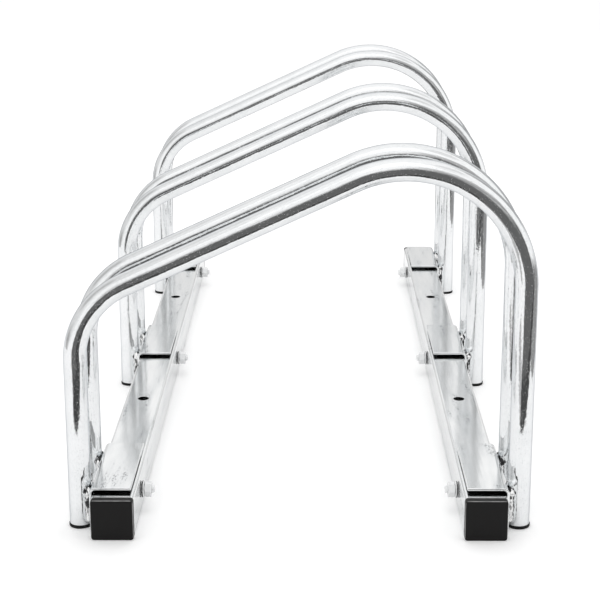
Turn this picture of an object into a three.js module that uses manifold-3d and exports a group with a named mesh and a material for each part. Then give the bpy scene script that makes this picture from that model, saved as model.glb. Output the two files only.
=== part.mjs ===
// Hoop bike rack for three bikes, in millimetres with +Z up.
// Two square rails run along Y. Three pairs of bent hoops stand across them, welded to angle brackets that are
// bolted through the rails. X runs across the rack, with the low side of every hoop at -X and the high side at +X.
// The origin is on the ground, in the middle of the rack.

import * as THREE from 'three';
import { mergeVertices } from 'three/addons/utils/BufferGeometryUtils.js';
import Module from 'manifold-3d';

const wasm = await Module();
wasm.setup();

// Driving dimensions of the whole rack
const rackLength = 705;
const rackHeight = 266;
const railSpacing = 260;
const pairCount = 3;
const pairPitch = 298;
const tubeSpacing = 55;
const clearance = 0.3;

// Rails: square tube with rounded corners
const railSize = 30;
const railWall = 1.2;
const railCornerRadius = 2.5;
const railBoreRadius = 1.3;
const floorHoleDiameter = 9;

// Hoops: round tube with a tight bend on the low side and a wide one on the high side
const tubeDiameter = 16;
const tubeWall = 1;
const lowBendRadius = 60;
const highBendRadius = 83;
const slopeAngle = THREE.MathUtils.degToRad(24.7);

// Angle brackets: bent plate that rides a little above the rail, with a weld bead each side of each tube
const bracketLength = 84;
const bracketThickness = 2;
const bracketBendRadius = 2.5;
const bracketLift = 2;
const bracketHeight = 30;
const bracketInset = 2.5;
const weldInset = 0.6;
const weldReach = 9.5;
const weldRootGap = 2;
const weldDepth = 4.8;

// End caps: a rounded head with a hollow stem that fits inside the rail
const capThickness = 5.5;
const capEdgeRadius = 1;
const capStemLength = 15;
const capStemWall = 2;

// Foot plugs: a thin head under the tube end with a stem inside it
const plugHeadDiameter = 17;
const plugHeadThickness = 2.2;
const plugHeadChamfer = 0.6;
const plugStemRadius = 6.4;
const plugStemLength = 10;

// Bolts, washers and nuts: 6 mm thread with a 10 mm spanner size
const boltDiameter = 6;
const boltHoleDiameter = 7;
const spannerSize = 10;
const hexSides = 6;
const boltHeadThickness = 4;
const boltLength = 42;
const boltEndChamfer = 0.7;
const washerDiameter = 12;
const washerThickness = 1.6;
const nutThickness = 5;

// How finely round shapes are divided
const tubeSides = 12;
const boltSides = 12;
const washerSides = 16;
const plugSides = 12;
const cornerSegments = 2;
const plateBendSegments = 4;
const lowBendSteps = 7;
const highBendSteps = 12;

// Places worked out from the dimensions above
const tubeRadius = tubeDiameter / 2;
const railCentre = railSpacing / 2;
const railOuterFace = railCentre + railSize / 2;
const railInnerFace = railCentre - railSize / 2;
const flangeInnerFace = railOuterFace + clearance;
const flangeOuterFace = flangeInnerFace + bracketThickness;
const plateTop = railSize + bracketLift + bracketThickness;
const legX = flangeOuterFace + clearance + tubeRadius;
const tubeBottom = plugHeadThickness + clearance;
const hexRadius = spannerSize / 2 / Math.cos(Math.PI / hexSides);
const pairCentres = Array.from({ length: pairCount }, (_, i) => (i - (pairCount - 1) / 2) * pairPitch);
const floorHolePlaces = [-pairPitch / 2, pairPitch / 2];
const sides = { low: -1, high: 1 };
const ends = { front: -1, rear: 1 };

// Finishes
const brightZinc = new THREE.MeshStandardMaterial({ color: 0xdfe1e3, metalness: 1, roughness: 0.14 });
const satinZinc = new THREE.MeshStandardMaterial({ color: 0xcfd0d0, metalness: 1, roughness: 0.34 });
const boltZinc = new THREE.MeshStandardMaterial({ color: 0xbfc0bd, metalness: 1, roughness: 0.28 });
const blackPlastic = new THREE.MeshStandardMaterial({ color: 0x232121, metalness: 0, roughness: 0.5 });

const rack = new THREE.Group();

function add(name, geometry, material) {
  const mesh = new THREE.Mesh(geometry, material);
  mesh.name = name;
  rack.add(mesh);
}

// A closed geometry as a solid for joining and cutting
function toSolid(geometry) {
  const bare = geometry.clone();
  bare.deleteAttribute('normal');
  bare.deleteAttribute('uv');
  const merged = mergeVertices(bare);
  const corners = merged.index.array;
  const kept = [];
  for (let i = 0; i < corners.length; i += 3) {
    const [a, b, c] = corners.slice(i, i + 3);
    if (a !== b && b !== c && c !== a) kept.push(a, b, c);
  }
  return new wasm.Manifold(new wasm.Mesh({
    numProp: 3,
    vertProperties: new Float32Array(merged.attributes.position.array),
    triVerts: new Uint32Array(kept),
  }));
}

function toGeometry(solid) {
  const mesh = solid.getMesh();
  const geometry = new THREE.BufferGeometry();
  geometry.setAttribute('position', new THREE.BufferAttribute(mesh.vertProperties, 3));
  geometry.setIndex(new THREE.BufferAttribute(mesh.triVerts, 1));
  geometry.computeVertexNormals();
  return geometry;
}

function roundedSquare(shape, size, radius) {
  const flat = size / 2 - radius;
  shape.absarc(flat, flat, radius, 0, Math.PI / 2);
  shape.absarc(-flat, flat, radius, Math.PI / 2, Math.PI);
  shape.absarc(-flat, -flat, radius, Math.PI, 1.5 * Math.PI);
  shape.absarc(flat, -flat, radius, 1.5 * Math.PI, 2 * Math.PI);
  shape.closePath();
  return shape;
}

// A regular polygon with a corner on the shape's y axis
function polygon(shape, radius, count) {
  const corners = Array.from({ length: count }, (_, i) => {
    const angle = Math.PI / 2 + (i / count) * 2 * Math.PI;
    return new THREE.Vector2(radius * Math.cos(angle), radius * Math.sin(angle));
  });
  return shape.setFromPoints(corners);
}

// Extrudes a shape drawn in X and Z along Y
function extrudeAlongY(shape, from, to, curveSegments = cornerSegments) {
  const geometry = new THREE.ExtrudeGeometry(shape, { depth: to - from, bevelEnabled: false, curveSegments });
  return geometry.rotateX(Math.PI / 2).translate(0, to, 0);
}

// Extrudes a shape drawn in Y and Z along X
function extrudeAlongX(shape, from, to) {
  const geometry = new THREE.ExtrudeGeometry(shape, { depth: to - from, bevelEnabled: false });
  return geometry.rotateZ(Math.PI / 2).rotateY(Math.PI / 2).translate(from, 0, 0);
}

function roundBar(radius, from, to, count) {
  return new THREE.CylinderGeometry(radius, radius, to - from, count).translate(0, (from + to) / 2, 0);
}

function verticalBar(radius, from, to, count) {
  return roundBar(radius, from, to, count).rotateX(Math.PI / 2);
}

function crossBar(radius, from, to, count) {
  return roundBar(radius, from, to, count).rotateZ(-Math.PI / 2);
}

// Rails: square tube, drilled through both walls for the floor screws and for the bracket bolts
function railGeometry() {
  const section = roundedSquare(new THREE.Shape(), railSize, railCornerRadius);
  section.holes.push(roundedSquare(new THREE.Path(), railSize - 2 * railWall, railBoreRadius));
  const end = rackLength / 2 - capThickness - clearance;
  let rail = toSolid(extrudeAlongY(section, -end, end));
  for (const y of floorHolePlaces) {
    const hole = verticalBar(floorHoleDiameter / 2, -railSize, railSize, washerSides).translate(0, y, 0);
    rail = rail.subtract(toSolid(hole));
  }
  for (const y of pairCentres) {
    const hole = crossBar(boltHoleDiameter / 2, -railSize, railSize, boltSides).translate(0, y, 0);
    rail = rail.subtract(toSolid(hole));
  }
  return toGeometry(rail);
}

// End caps: the head is drawn facing -Y, with its face at y = 0
function capGeometry() {
  const headOutline = roundedSquare(new THREE.Shape(), railSize - 2 * capEdgeRadius, railCornerRadius - capEdgeRadius);
  const head = new THREE.ExtrudeGeometry(headOutline, {
    depth: capThickness - 2 * capEdgeRadius,
    bevelThickness: capEdgeRadius,
    bevelSize: capEdgeRadius,
    bevelSegments: 1,
    curveSegments: cornerSegments,
  }).translate(0, 0, capEdgeRadius).rotateX(-Math.PI / 2);
  const stemSize = railSize - 2 * railWall - 2 * clearance;
  const stemSection = roundedSquare(new THREE.Shape(), stemSize, railBoreRadius);
  stemSection.holes.push(roundedSquare(new THREE.Path(), stemSize - 2 * capStemWall, railBoreRadius / 2));
  const stemRoot = capThickness - capEdgeRadius;
  const stem = extrudeAlongY(stemSection, stemRoot, capThickness + capStemLength);
  return toGeometry(toSolid(head).add(toSolid(stem)));
}

// Centreline of a hoop in the XZ plane: up the low leg, round the low bend, up the slope, round the high bend
// and down the high leg. The steps are shared out by how much each stretch bends, not by its length.
class HoopPath extends THREE.Curve {
  constructor() {
    super();
    const highCentre = { x: legX - highBendRadius, z: rackHeight - tubeRadius - highBendRadius };
    const lowCentreX = lowBendRadius - legX;
    const run = highCentre.x - lowCentreX;
    const rise = (Math.sin(slopeAngle) * run - (highBendRadius - lowBendRadius)) / Math.cos(slopeAngle);
    const lowCentre = { x: lowCentreX, z: highCentre.z - rise };
    const slopeNormal = Math.PI / 2 + slopeAngle;
    this.stretches = [
      this.straight({ x: -legX, z: tubeBottom }, { x: -legX, z: lowCentre.z }),
      this.bend(lowCentre, lowBendRadius, Math.PI, slopeNormal, lowBendSteps),
      this.straight(this.onCircle(lowCentre, lowBendRadius, slopeNormal),
        this.onCircle(highCentre, highBendRadius, slopeNormal)),
      this.bend(highCentre, highBendRadius, slopeNormal, 0, highBendSteps),
      this.straight({ x: legX, z: highCentre.z }, { x: legX, z: tubeBottom }),
    ];
    this.steps = this.stretches.reduce((sum, stretch) => sum + stretch.steps, 0);
  }

  onCircle(centre, radius, angle) {
    return { x: centre.x + radius * Math.cos(angle), z: centre.z + radius * Math.sin(angle) };
  }

  straight(start, end) {
    const direction = new THREE.Vector3(end.x - start.x, 0, end.z - start.z).normalize();
    return {
      steps: 1,
      point: (s) => ({ x: start.x + s * (end.x - start.x), z: start.z + s * (end.z - start.z) }),
      tangent: () => direction.clone(),
    };
  }

  bend(centre, radius, from, to, steps) {
    const angle = (s) => from + s * (to - from);
    return {
      steps,
      point: (s) => this.onCircle(centre, radius, angle(s)),
      tangent: (s) => new THREE.Vector3(Math.sin(angle(s)), 0, -Math.cos(angle(s))),
    };
  }

  locate(t) {
    let step = t * this.steps;
    for (const stretch of this.stretches) {
      if (step <= stretch.steps + 1e-9) return [stretch, step / stretch.steps];
      step -= stretch.steps;
    }
    return [this.stretches.at(-1), 1];
  }

  getPoint(t, target = new THREE.Vector3()) {
    const [stretch, s] = this.locate(t);
    const { x, z } = stretch.point(s);
    return target.set(x, 0, z);
  }

  getTangent(t, target = new THREE.Vector3()) {
    const [stretch, s] = this.locate(t);
    return target.copy(stretch.tangent(s));
  }

  getUtoTmapping(u) {
    return u;
  }
}

function hoopGeometry() {
  const path = new HoopPath();
  const section = polygon(new THREE.Shape(), tubeRadius, tubeSides);
  section.holes.push(polygon(new THREE.Path(), tubeRadius - tubeWall, tubeSides));
  return new THREE.ExtrudeGeometry(section, { steps: path.steps, extrudePath: path });
}

// Weld bead between a flange and the near or far side of a tube, drawn from above and cut to the tube
function weldSolid(side, tubeY, facing) {
  const root = flangeOuterFace - clearance;
  const crest = flangeOuterFace + weldDepth;
  const crestY = Math.sqrt((tubeRadius + clearance) ** 2 - (legX - crest) ** 2);
  const outline = [[root, weldReach], [root, weldRootGap], [crest, weldRootGap], [crest, crestY]];
  const shape = new THREE.Shape(outline.map(([x, y]) => new THREE.Vector2(side * x, tubeY + facing * y)));
  const bottom = plateTop - bracketHeight + weldInset;
  const height = bracketHeight - 2 * weldInset - bracketBendRadius;
  const bead = new THREE.ExtrudeGeometry(shape, { depth: height, bevelEnabled: false }).translate(0, 0, bottom);
  const tube = verticalBar(tubeRadius + clearance, 0, railSize * 2, 2 * tubeSides).translate(side * legX, tubeY, 0);
  return toSolid(bead).subtract(toSolid(tube));
}

// Angle brackets: the top plate lies over the rail and the flange stands outside it, with a bolt hole
function bracketGeometry(side) {
  const outerRadius = bracketBendRadius + bracketThickness;
  const bendX = flangeInnerFace - bracketBendRadius;
  const bendZ = plateTop - outerRadius;
  const freeEdge = railInnerFace + bracketInset;
  const flangeBottom = plateTop - bracketHeight;
  const profile = new THREE.Shape();
  profile.moveTo(flangeInnerFace, flangeBottom);
  profile.lineTo(flangeOuterFace, flangeBottom);
  profile.absarc(bendX, bendZ, outerRadius, 0, Math.PI / 2);
  profile.lineTo(freeEdge, plateTop);
  profile.lineTo(freeEdge, plateTop - bracketThickness);
  profile.absarc(bendX, bendZ, bracketBendRadius, Math.PI / 2, 0, true);
  const plate = extrudeAlongY(profile, -bracketLength / 2, bracketLength / 2, plateBendSegments);
  const turned = side > 0 ? plate : plate.rotateZ(Math.PI);
  let bracket = toSolid(turned);
  for (const place of Object.values(ends)) {
    for (const facing of [-1, 1]) {
      bracket = bracket.add(weldSolid(side, (place * tubeSpacing) / 2, facing));
    }
  }
  const boltHole = crossBar(boltHoleDiameter / 2, -rackLength, rackLength, boltSides).translate(0, 0, railSize / 2);
  return toGeometry(bracket.subtract(toSolid(boltHole)));
}

// Bolts: the head is outside the flange and the chamfered end comes out through the nut
function boltGeometry() {
  const seat = flangeOuterFace + clearance;
  const end = seat - boltLength;
  const profile = [
    [0, end],
    [boltDiameter / 2 - boltEndChamfer, end],
    [boltDiameter / 2, end + boltEndChamfer],
    [boltDiameter / 2, seat + boltHeadThickness / 2],
    [0, seat + boltHeadThickness / 2],
  ].map(([radius, along]) => new THREE.Vector2(radius, along));
  const shank = new THREE.LatheGeometry(profile, boltSides).rotateZ(-Math.PI / 2);
  const head = crossBar(hexRadius, seat, seat + boltHeadThickness, hexSides);
  return toGeometry(toSolid(head).add(toSolid(shank)));
}

function ringGeometry(radius, count, inner, outer) {
  const shape = polygon(new THREE.Shape(), radius, count);
  shape.holes.push(polygon(new THREE.Path(), boltHoleDiameter / 2, boltSides));
  return extrudeAlongX(shape, inner, outer);
}

function washerGeometry() {
  const outer = railInnerFace - clearance;
  return ringGeometry(washerDiameter / 2, washerSides, outer - washerThickness, outer);
}

function nutGeometry() {
  const outer = railInnerFace - 2 * clearance - washerThickness;
  return ringGeometry(hexRadius, hexSides, outer - nutThickness, outer);
}

// Foot plugs: turned about the tube's axis, standing on the ground
function plugGeometry() {
  const headRadius = plugHeadDiameter / 2;
  const top = plugHeadThickness + plugStemLength;
  const profile = [
    [0, 0],
    [headRadius - plugHeadChamfer, 0],
    [headRadius, plugHeadChamfer],
    [headRadius, plugHeadThickness],
    [plugStemRadius, plugHeadThickness],
    [plugStemRadius, top],
    [0, top],
  ].map(([radius, height]) => new THREE.Vector2(radius, height));
  return new THREE.LatheGeometry(profile, plugSides).rotateX(Math.PI / 2);
}

const rail = railGeometry();
const cap = capGeometry();
for (const [sideName, side] of Object.entries(sides)) {
  add(`rail_${sideName}`, rail.clone().translate(side * railCentre, 0, railSize / 2), satinZinc);
  for (const [endName, end] of Object.entries(ends)) {
    const turned = cap.clone().rotateZ(end < 0 ? 0 : Math.PI);
    turned.translate(side * railCentre, (end * rackLength) / 2, railSize / 2);
    add(`end_cap_${sideName}_${endName}`, turned, blackPlastic);
  }
}

const hoop = hoopGeometry();
const plug = plugGeometry();
const bolt = boltGeometry();
const washer = washerGeometry();
const nut = nutGeometry();
pairCentres.forEach((pairY, index) => {
  const pair = index + 1;
  for (const [tubeName, place] of Object.entries(ends)) {
    const tubeY = pairY + (place * tubeSpacing) / 2;
    add(`hoop_${pair}_${tubeName}`, hoop.clone().translate(0, tubeY, 0), brightZinc);
    for (const [sideName, side] of Object.entries(sides)) {
      add(`foot_plug_${pair}_${tubeName}_${sideName}`, plug.clone().translate(side * legX, tubeY, 0), blackPlastic);
    }
  }
  for (const [sideName, side] of Object.entries(sides)) {
    add(`bracket_${pair}_${sideName}`, bracketGeometry(side).translate(0, pairY, 0), satinZinc);
    const place = (piece) => piece.clone().rotateZ(side > 0 ? 0 : Math.PI).translate(0, pairY, railSize / 2);
    add(`bolt_${pair}_${sideName}`, place(bolt), boltZinc);
    add(`washer_${pair}_${sideName}`, place(washer), boltZinc);
    add(`nut_${pair}_${sideName}`, place(nut), boltZinc);
  }
});

export default rack;
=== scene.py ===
"""Hoop bike rack for three bikes: the finished pieces, their finishes, the floor, the light and the camera.

Metres, +Z up, rails along Y. "low" is the -X side, where the hoops are low, and "front" is the -Y end.
Each piece is modelled once, on the high side or in the middle of the rack, and then copied into its places.
"""

import math
import random

import bpy
from mathutils import Matrix, Vector


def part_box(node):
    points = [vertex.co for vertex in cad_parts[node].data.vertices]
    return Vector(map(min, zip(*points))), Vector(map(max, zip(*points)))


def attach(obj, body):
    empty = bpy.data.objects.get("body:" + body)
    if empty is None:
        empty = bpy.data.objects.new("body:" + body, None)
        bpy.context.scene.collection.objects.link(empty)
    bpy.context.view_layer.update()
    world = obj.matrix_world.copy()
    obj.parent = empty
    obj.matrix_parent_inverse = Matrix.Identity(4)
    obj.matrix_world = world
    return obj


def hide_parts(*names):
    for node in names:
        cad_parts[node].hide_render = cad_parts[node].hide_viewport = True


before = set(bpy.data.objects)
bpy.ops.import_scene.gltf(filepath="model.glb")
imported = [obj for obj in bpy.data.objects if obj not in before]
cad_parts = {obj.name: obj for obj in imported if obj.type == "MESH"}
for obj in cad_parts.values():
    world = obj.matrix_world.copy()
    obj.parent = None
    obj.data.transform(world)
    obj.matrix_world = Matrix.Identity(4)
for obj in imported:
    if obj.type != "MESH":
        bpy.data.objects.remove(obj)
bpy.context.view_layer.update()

MM = 0.001
SIDES = {"low": -1, "high": 1}
ENDS = {"front": -1, "rear": 1}
PAIRS = (1, 2, 3)


def middle(node):
    low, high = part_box(node)
    return (low + high) / 2


# Places read from the frame
RAIL_LOW, RAIL_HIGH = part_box("rail_high")
RAIL_X = middle("rail_high").x
RAIL_SIZE = RAIL_HIGH.z - RAIL_LOW.z
RAIL_OUTSIDE = RAIL_HIGH.x
PAIR_Y = {pair: middle(f"bracket_{pair}_high").y for pair in PAIRS}
LEG_X = middle("foot_plug_1_front_high").x
TUBE_OFFSET = middle("hoop_2_rear").y
TUBE_BOTTOM, TUBE_TOP = (corner.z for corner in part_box("hoop_1_front"))
TUBE_RADIUS = (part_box("hoop_1_front")[1].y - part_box("hoop_1_front")[0].y) / 2
BRACKET_LOW, BRACKET_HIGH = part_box("bracket_2_high")
CAP_LOW, CAP_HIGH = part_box("end_cap_high_front")
PLUG_LOW, PLUG_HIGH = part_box("foot_plug_1_front_high")
BOLT_LOW, BOLT_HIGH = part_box("bolt_2_high")
WASHER_LOW, WASHER_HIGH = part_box("washer_2_high")
WASHER_MIDDLE = (WASHER_LOW.x + WASHER_HIGH.x) / 2
NUT_LOW, NUT_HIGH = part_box("nut_2_high")

# Driving sizes of the hoops
TUBE_WALL = 1.0 * MM
LOW_BEND = 60 * MM
HIGH_BEND = 83 * MM
SLOPE = math.radians(24.7)
BEND_STEP = math.radians(2.5)

# Driving sizes of the rails and brackets
RAIL_WALL = 1.2 * MM
RAIL_CORNER = 2.5 * MM
FLOOR_HOLE = 9 * MM
BOLT_HOLE = 7 * MM
PLATE = 2 * MM
PLATE_BEND = 4.5 * MM
PLATE_EDGE = 0.75 * MM
FLANGE_GAP = 0.3 * MM
FLANGE_OUTSIDE = RAIL_OUTSIDE + FLANGE_GAP + PLATE
CUT_EDGE = 0.3 * MM

# Driving sizes of the plastic pieces
CAP_HEAD = 5.5 * MM
CAP_EDGE = 0.8 * MM
CAP_STEM_GAP = 0.3 * MM
CAP_STEM_WALL = 2 * MM
PLUG_HEAD = 2.2 * MM
PLUG_EDGE = 0.7 * MM
PLUG_STEM_RADIUS = 6.4 * MM

# Painted highlight lines along the edges of a cap's head: their half width, how far the front one lies in
# from the front and the sides, and how far the back one lies in from the back and from the sides
HIGHLIGHT_WIDTH = 0.32 * CAP_EDGE
HIGHLIGHT_FRONT = 0.3 * CAP_EDGE
HIGHLIGHT_BACK = 0.2 * CAP_EDGE
HIGHLIGHT_SIDE = 0.1 * CAP_EDGE

# Driving sizes of the fasteners, with a 6 mm thread and a 10 mm spanner size
THREAD_RADIUS = 3 * MM
THREAD_PITCH = 1 * MM
THREAD_DEPTH = 0.55 * MM
THREAD_LENGTH = 12 * MM
TIP_CHAMFER = 0.8 * MM
SPANNER = 10 * MM
BOLT_HEAD = 4 * MM
HEX_CHAMFER = 0.9 * MM
HEX_CONE = math.radians(30)
HAIR_WIDER = 1.01
WASHER_GAP = 0.2 * MM

# Weld beads: a lumpy fillet in each corner between a flange and a tube
BEAD_RADIUS = 2.4 * MM
BEAD_LUMP = 4 * MM
BEAD_BOTTOM = 4.8 * MM
BEAD_TOP = 31.5 * MM
BEAD_WANDER = 0.35 * MM
# A bead's axis: how far it is off the flange's face, and off the tube's axis
BEAD_X = FLANGE_OUTSIDE + 1.7 * MM
BEAD_OFFSET = 6.2 * MM
# A bead's width on its way up, in shares of its radius: its start, its lumps and waists, and its top lump
BEAD_START = 0.6
LUMP_SWELL = (0.95, 1.25)
LUMP_WAIST = (0.6, 0.85)
TOP_LUMP = [1.5, 1.35, 0.7, 0.2]
# One bead is drawn from each seed, and each copy is turned on by this angle
BEAD_SEEDS = (3, 8, 21, 34)
BEAD_TURN = 1.3

# How many sides the round shapes have, and how many steps a rounding has
TUBE_SIDES = 48
BORE_SIDES = 48
BOLT_HOLE_SIDES = 36
DISC_SIDES = 64
CONE_SIDES = 72
SHANK_SIDES = 32
BEAD_SIDES = 14
CORNER_STEPS = 6
PLATE_BEND_STEPS = 8
THREAD_STEPS = 6

# An edge or a normal runs along an axis if its part there is over ALONG, and across it if under ACROSS
ALONG = 0.9
ACROSS = 0.1
# Places are level with each other, and corners are merged, within these distances
LEVEL = CUT_EDGE / 4
MERGE = 0.01 * MM
# Edges that turn by more than this are sharp, and get rounded
SHARP = math.radians(40)
# Faces that turn by less than this are shaded as one. The weld beads have only blunt lumps.
CREASE = math.radians(30)
BEAD_CREASE = math.radians(80)
# The turn that lays a cylinder along X
ALONG_X = (0, math.pi / 2, 0)


def stop_editing():
    if bpy.context.mode != "OBJECT":
        bpy.ops.object.mode_set(mode="OBJECT")


def start(add, location=(0, 0, 0), **settings):
    """Adds a primitive with nothing else selected, and puts its place and size into its mesh."""
    stop_editing()
    bpy.ops.object.select_all(action="DESELECT")
    add(location=location, **settings)
    bpy.ops.object.transform_apply()
    return bpy.context.object


def choose(kind, test):
    """Opens the piece in hand for editing with the corners, edges or faces selected that pass a test.

    The test gets the element's middle and its direction: the normal, or the run of an edge.
    """
    stop_editing()
    mesh = bpy.context.object.data
    for group in (mesh.vertices, mesh.edges, mesh.polygons):
        group.foreach_set("select", [False] * len(group))
    if kind == "VERT":
        found = [(corner, corner.co, corner.normal) for corner in mesh.vertices]
    elif kind == "EDGE":
        ends = [[mesh.vertices[i].co for i in edge.vertices] for edge in mesh.edges]
        found = [(edge, (a + b) / 2, (b - a).normalized()) for edge, (a, b) in zip(mesh.edges, ends)]
    else:
        found = [(face, face.center, face.normal) for face in mesh.polygons]
    for element, place, direction in found:
        element.select = bool(test(place, direction))
    bpy.context.tool_settings.mesh_select_mode = [kind == "VERT", kind == "EDGE", kind == "FACE"]
    bpy.ops.object.mode_set(mode="EDIT")


def anywhere(place, direction):
    """The test that everything passes."""
    return True


def extrude(move):
    bpy.ops.mesh.extrude_region_move(TRANSFORM_OT_translate={"value": tuple(move)})


def widen(factors, centre):
    bpy.ops.transform.resize(value=factors, center_override=tuple(centre))


def clean_shell():
    """Merges what lies on the same spot and turns every face outwards."""
    bpy.ops.mesh.select_all(action="SELECT")
    bpy.ops.mesh.remove_doubles(threshold=MERGE)
    bpy.ops.mesh.normals_make_consistent(inside=False)
    stop_editing()


def modify(piece, kind, **settings):
    """Adds a modifier to a piece and applies it."""
    stop_editing()
    bpy.ops.object.select_all(action="DESELECT")
    piece.select_set(True)
    bpy.context.view_layer.objects.active = piece
    modifier = piece.modifiers.new(kind.title(), kind)
    for name, value in settings.items():
        setattr(modifier, name, value)
    bpy.ops.object.modifier_apply(modifier=modifier.name)


def round_edges(piece, width, segments=2):
    modify(piece, "BEVEL", width=width, segments=segments, limit_method="ANGLE", angle_limit=SHARP)


def cut(piece, cutter, operation="DIFFERENCE"):
    modify(piece, "BOOLEAN", operation=operation, object=cutter, solver="EXACT")
    bpy.data.objects.remove(cutter)


def drill(piece, place, radius, depth, sides, turn=(0, 0, 0)):
    """Drills a round hole: upright, or along X with the turn for that."""
    cutter = start(
        bpy.ops.mesh.primitive_cylinder_add, location=place, vertices=sides, radius=radius, depth=depth,
        rotation=turn)
    cut(piece, cutter)


def dress(piece, material, crease=CREASE):
    """Smooth shading with flat faces kept flat, and the piece's finish."""
    stop_editing()
    bpy.ops.object.select_all(action="DESELECT")
    piece.select_set(True)
    bpy.context.view_layer.objects.active = piece
    bpy.ops.object.shade_smooth_by_angle(angle=crease)
    modify(piece, "WEIGHTED_NORMAL", keep_sharp=True, weight=100)
    piece.data.materials.clear()
    piece.data.materials.append(material)


def settle(master, name, slot, *nodes, turn=0.0, move=(0, 0, 0)):
    """A copy of a master with its own mesh, in its place on the rack, standing for these CAD nodes."""
    piece = master.copy()
    piece.data = master.data.copy()
    piece.name = name
    piece.data.transform(Matrix.Translation(move) @ Matrix.Rotation(turn, 4, "Z"))
    bpy.context.scene.collection.objects.link(piece)
    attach(piece, "root")
    if nodes:
        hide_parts(*nodes)
    return piece


def linear(hex_colour):
    """An sRGB colour such as "c8ccd0" as linear RGBA."""
    shares = [int(hex_colour[i:i + 2], 16) / 255 for i in (0, 2, 4)]
    return [s / 12.92 if s <= 0.04045 else ((s + 0.055) / 1.055) ** 2.4 for s in shares] + [1.0]


def add_node(tree, kind, inputs=None, **settings):
    """Adds a shader node: settings go on the node, inputs are plain values or other nodes' outputs."""
    node = tree.nodes.new(kind)
    for name, value in settings.items():
        setattr(node, name, value)
    for socket, value in (inputs or {}).items():
        if isinstance(value, bpy.types.NodeSocket):
            tree.links.new(value, node.inputs[socket])
        else:
            node.inputs[socket].default_value = value
    return node


def new_material(name):
    """A material with a Principled shader, and its node tree."""
    material = bpy.data.materials.new(name)
    material.use_nodes = True
    return material, material.node_tree, material.node_tree.nodes["Principled BSDF"]


def grain(tree, place, length, width, detail, axis=0):
    """Noise drawn out along one axis: marks of about this length and width, in millimetres."""
    scale = [1 / (width * MM)] * 3
    scale[axis] = 1 / (length * MM)
    stretched = add_node(tree, "ShaderNodeMapping", {"Vector": place, "Scale": scale})
    noise = add_node(
        tree, "ShaderNodeTexNoise", {"Vector": stretched.outputs[0], "Scale": 1.0, "Detail": detail})
    return noise.outputs["Fac"]


def bright_zinc_plate():
    """Bright zinc electroplate on drawn steel tube.

    Nearly a mirror, so it shows the room as clean light and dark bands. Draw lines along the tube and a faint
    orange peel fray the edges of those bands, sparse specks glint in the dark ones, and the plate is a little
    greyer in soft patches.
    """
    material, tree, surface = new_material("bright zinc plate on drawn tube")
    along = add_node(tree, "ShaderNodeAttribute", attribute_name="straight_tube").outputs["Vector"]
    # Draw marks are really about 0.3 mm apart, drawn 1.8 mm apart and 30 mm long so that they show
    marks = grain(tree, along, 30, 1.8, detail=1)
    # Fine streaks: about 1 mm apart and 3 mm long
    streaks = grain(tree, along, 3, 1, detail=1)
    # Specks in the plate: about 0.8 mm, and sparse
    specks = add_node(tree, "ShaderNodeTexNoise", {"Vector": along, "Scale": 1 / (0.8 * MM), "Detail": 1.0})
    specks = add_node(
        tree, "ShaderNodeMapRange", {"Value": specks.outputs["Fac"], "From Min": 0.68, "From Max": 0.74})
    # Grey patches: about 18 mm across
    patches = add_node(tree, "ShaderNodeTexNoise", {"Vector": along, "Scale": 1 / (18 * MM), "Detail": 3.0})
    tone = add_node(
        tree, "ShaderNodeMath", {0: patches.outputs["Fac"], 1: streaks}, operation="MULTIPLY")
    tone = add_node(
        tree, "ShaderNodeMapRange", {"Value": tone.outputs[0], "From Min": 0.1, "From Max": 0.45})
    colour = add_node(
        tree, "ShaderNodeMix", {"Factor": tone.outputs[0], "A": linear("f6f7f8"), "B": linear("ebedee")},
        data_type="RGBA")
    rough = add_node(
        tree, "ShaderNodeMapRange",
        {"Value": streaks, "From Min": 0.3, "From Max": 0.7, "To Min": 0.03, "To Max": 0.1})
    relief = add_node(tree, "ShaderNodeBump", {"Height": marks, "Strength": 1.0, "Distance": 0.1 * MM})
    relief = add_node(
        tree, "ShaderNodeBump",
        {"Height": streaks, "Strength": 1.0, "Distance": 0.03 * MM, "Normal": relief.outputs[0]})
    relief = add_node(
        tree, "ShaderNodeBump",
        {"Height": specks.outputs[0], "Strength": 1.0, "Distance": 0.045 * MM, "Normal": relief.outputs[0]})
    surface.inputs["Metallic"].default_value = 1.0
    # Zinc reflects less at a glancing angle, which outlines the tubes
    surface.inputs["Specular Tint"].default_value = linear("c8cbce")
    tree.links.new(colour.outputs["Result"], surface.inputs["Base Color"])
    tree.links.new(rough.outputs[0], surface.inputs["Roughness"])
    tree.links.new(relief.outputs[0], surface.inputs["Normal"])
    return material


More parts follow.
